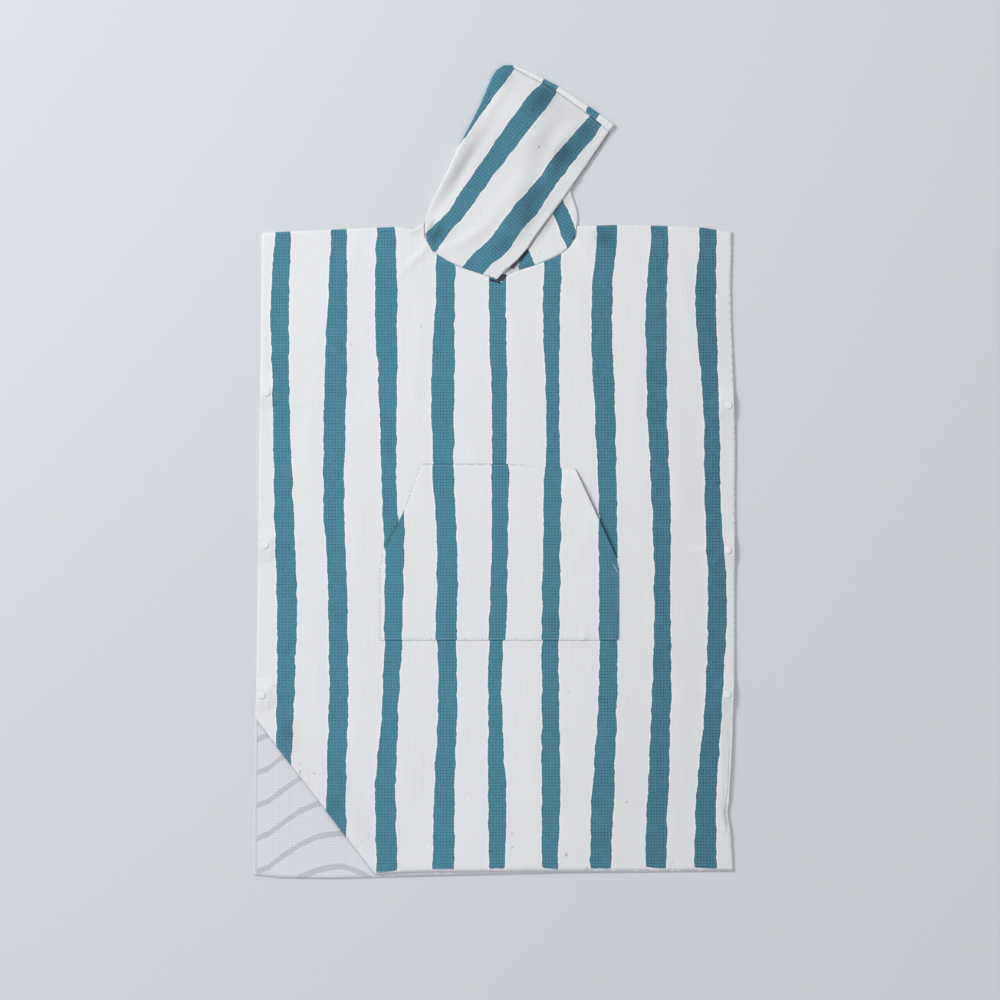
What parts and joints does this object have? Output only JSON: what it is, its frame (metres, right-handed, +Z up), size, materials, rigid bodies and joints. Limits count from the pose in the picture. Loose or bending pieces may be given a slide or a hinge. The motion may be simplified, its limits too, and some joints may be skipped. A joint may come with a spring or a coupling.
{
  "type": "hooded bath poncho",
  "caption": "Hooded changing poncho of striped waffle towelling with a front pocket and side snaps, laid flat with its hood to one side and a lower corner folded under.",
  "frame": {"origin": "under the middle of the whole outline, on the surface that the poncho lies on", "axes": "+Z up from that surface, +Y from the hem to the hood, +X to the right as one looks down on the front"},
  "size_m": [0.8088, 1.3664, 0.0087],
  "materials": {
    "waffle_cloth": "matte",
    "snap_resin": "gloss",
    "sewing_thread": "matte"
  },
  "bodies": {
    "root": {"back_panel": "waffle_cloth", "front_panel": "waffle_cloth", "pocket": "waffle_cloth", "hood_right_side": "waffle_cloth", "hood_left_side": "waffle_cloth", "snap_cap_left_top": "snap_resin", "snap_cap_left_middle": "snap_resin", "snap_cap_left_bottom": "snap_resin", "snap_cap_right_top": "snap_resin", "snap_cap_right_middle": "snap_resin", "snap_cap_right_bottom": "snap_resin", "snap_stud_left_top": "snap_resin", "snap_stud_left_middle": "snap_resin", "snap_stud_left_bottom": "snap_resin", "snap_stud_right_top": "snap_resin", "snap_stud_right_middle": "snap_resin", "snap_stud_right_bottom": "snap_resin"}
  },
  "joints": []
}
